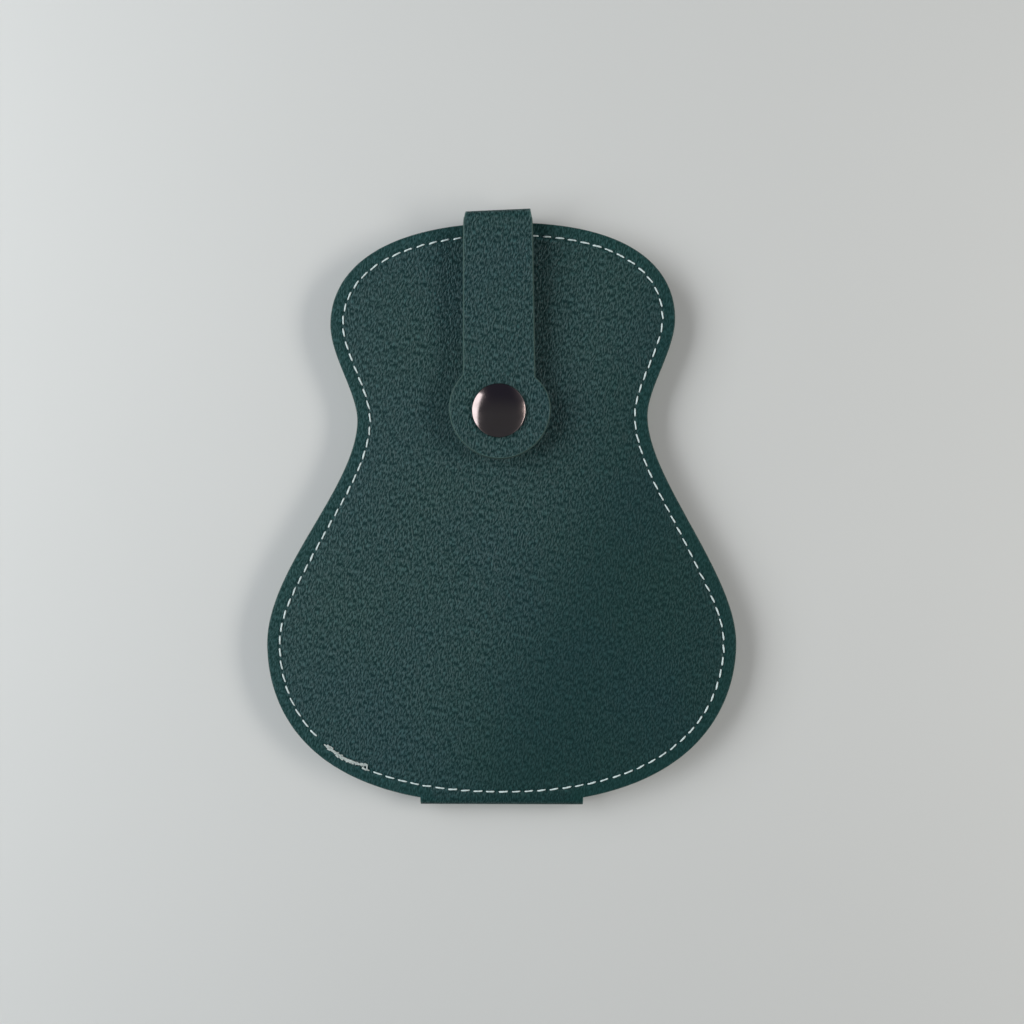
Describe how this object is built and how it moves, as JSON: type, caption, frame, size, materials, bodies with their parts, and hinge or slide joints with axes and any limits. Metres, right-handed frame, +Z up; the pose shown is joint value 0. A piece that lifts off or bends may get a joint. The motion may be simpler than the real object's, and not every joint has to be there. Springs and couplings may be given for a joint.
{
  "type": "guitar pick holder",
  "caption": "Flat bifold leather case shaped like a guitar body, with sewn pick pockets inside and a strap that loops over the top edge to a round snap.",
  "frame": {"origin": "middle of the whole object on the surface that the back cover lies on", "axes": "+X to the right across the case, +Y along the case from the fold towards the strap, +Z up out of the front cover"},
  "size_m": [0.1102, 0.14, 0.011],
  "materials": {
    "leather": "fine pebble grain, satin",
    "lining": "smooth, matte",
    "pocket_leather": "fine grain, satin",
    "stiffener": "pressed fibre board, matte",
    "seam_thread": "twisted thread",
    "pocket_thread": "twisted thread",
    "snap_cap_metal": "dark nickel plating, satin",
    "snap_metal": "dark nickel plating",
    "snap_brass": "bare brass"
  },
  "bodies": {
    "back": {"back_cover": "leather", "back_core": "stiffener", "back_lining": "lining", "back_seam_needle_thread": "seam_thread", "back_seam_bobbin_thread": "seam_thread", "back_lower_pocket_band": "pocket_leather", "back_lower_pocket_thread": "pocket_thread", "back_middle_pocket_band": "pocket_leather", "back_middle_pocket_thread": "pocket_thread", "back_upper_pocket_band": "pocket_leather", "back_upper_pocket_thread": "pocket_thread", "strap_base": "leather"},
    "spine": {"fold_spine": "leather"},
    "front": {"front_cover": "leather", "front_core": "stiffener", "front_lining": "lining", "front_seam_needle_thread": "seam_thread", "front_seam_bobbin_thread": "seam_thread", "front_lower_pocket_band": "pocket_leather", "front_lower_pocket_thread": "pocket_thread", "front_middle_pocket_band": "pocket_leather", "front_middle_pocket_thread": "pocket_thread", "front_upper_pocket_band": "pocket_leather", "front_upper_pocket_thread": "pocket_thread", "snap_stud": "snap_metal", "snap_post": "snap_brass"},
    "strap_bend": {"strap_bend": "leather"},
    "strap_flap": {"strap_flap": "leather", "snap_cap": "snap_cap_metal", "snap_socket": "snap_metal", "snap_spring": "snap_brass"}
  },
  "joints": [
    {"name": "fold_lower", "type": "hinge", "parent": "back", "child": "spine", "pos_m": [0, -0.06914, 0.00089], "axis": [1, 0, 0], "range_deg": [0, 90]},
    {"name": "fold_upper", "type": "hinge", "parent": "spine", "child": "front", "pos_m": [0, -0.06914, 0.00411], "axis": [1, 0, 0], "range_deg": [0, 90]},
    {"name": "strap_lower", "type": "hinge", "parent": "back", "child": "strap_bend", "pos_m": [0, 0.06904, 0.00178], "axis": [-1, 0, 0], "range_deg": [0, 90]},
    {"name": "strap_upper", "type": "hinge", "parent": "strap_bend", "child": "strap_flap", "pos_m": [0, 0.06904, 0.00822], "axis": [-1, 0, 0], "range_deg": [0, 90]}
  ],
  "couplings": [
    {"joint": "fold_upper", "follows": "fold_lower", "ratio": 1},
    {"joint": "strap_upper", "follows": "strap_lower", "ratio": 1}
  ]
}
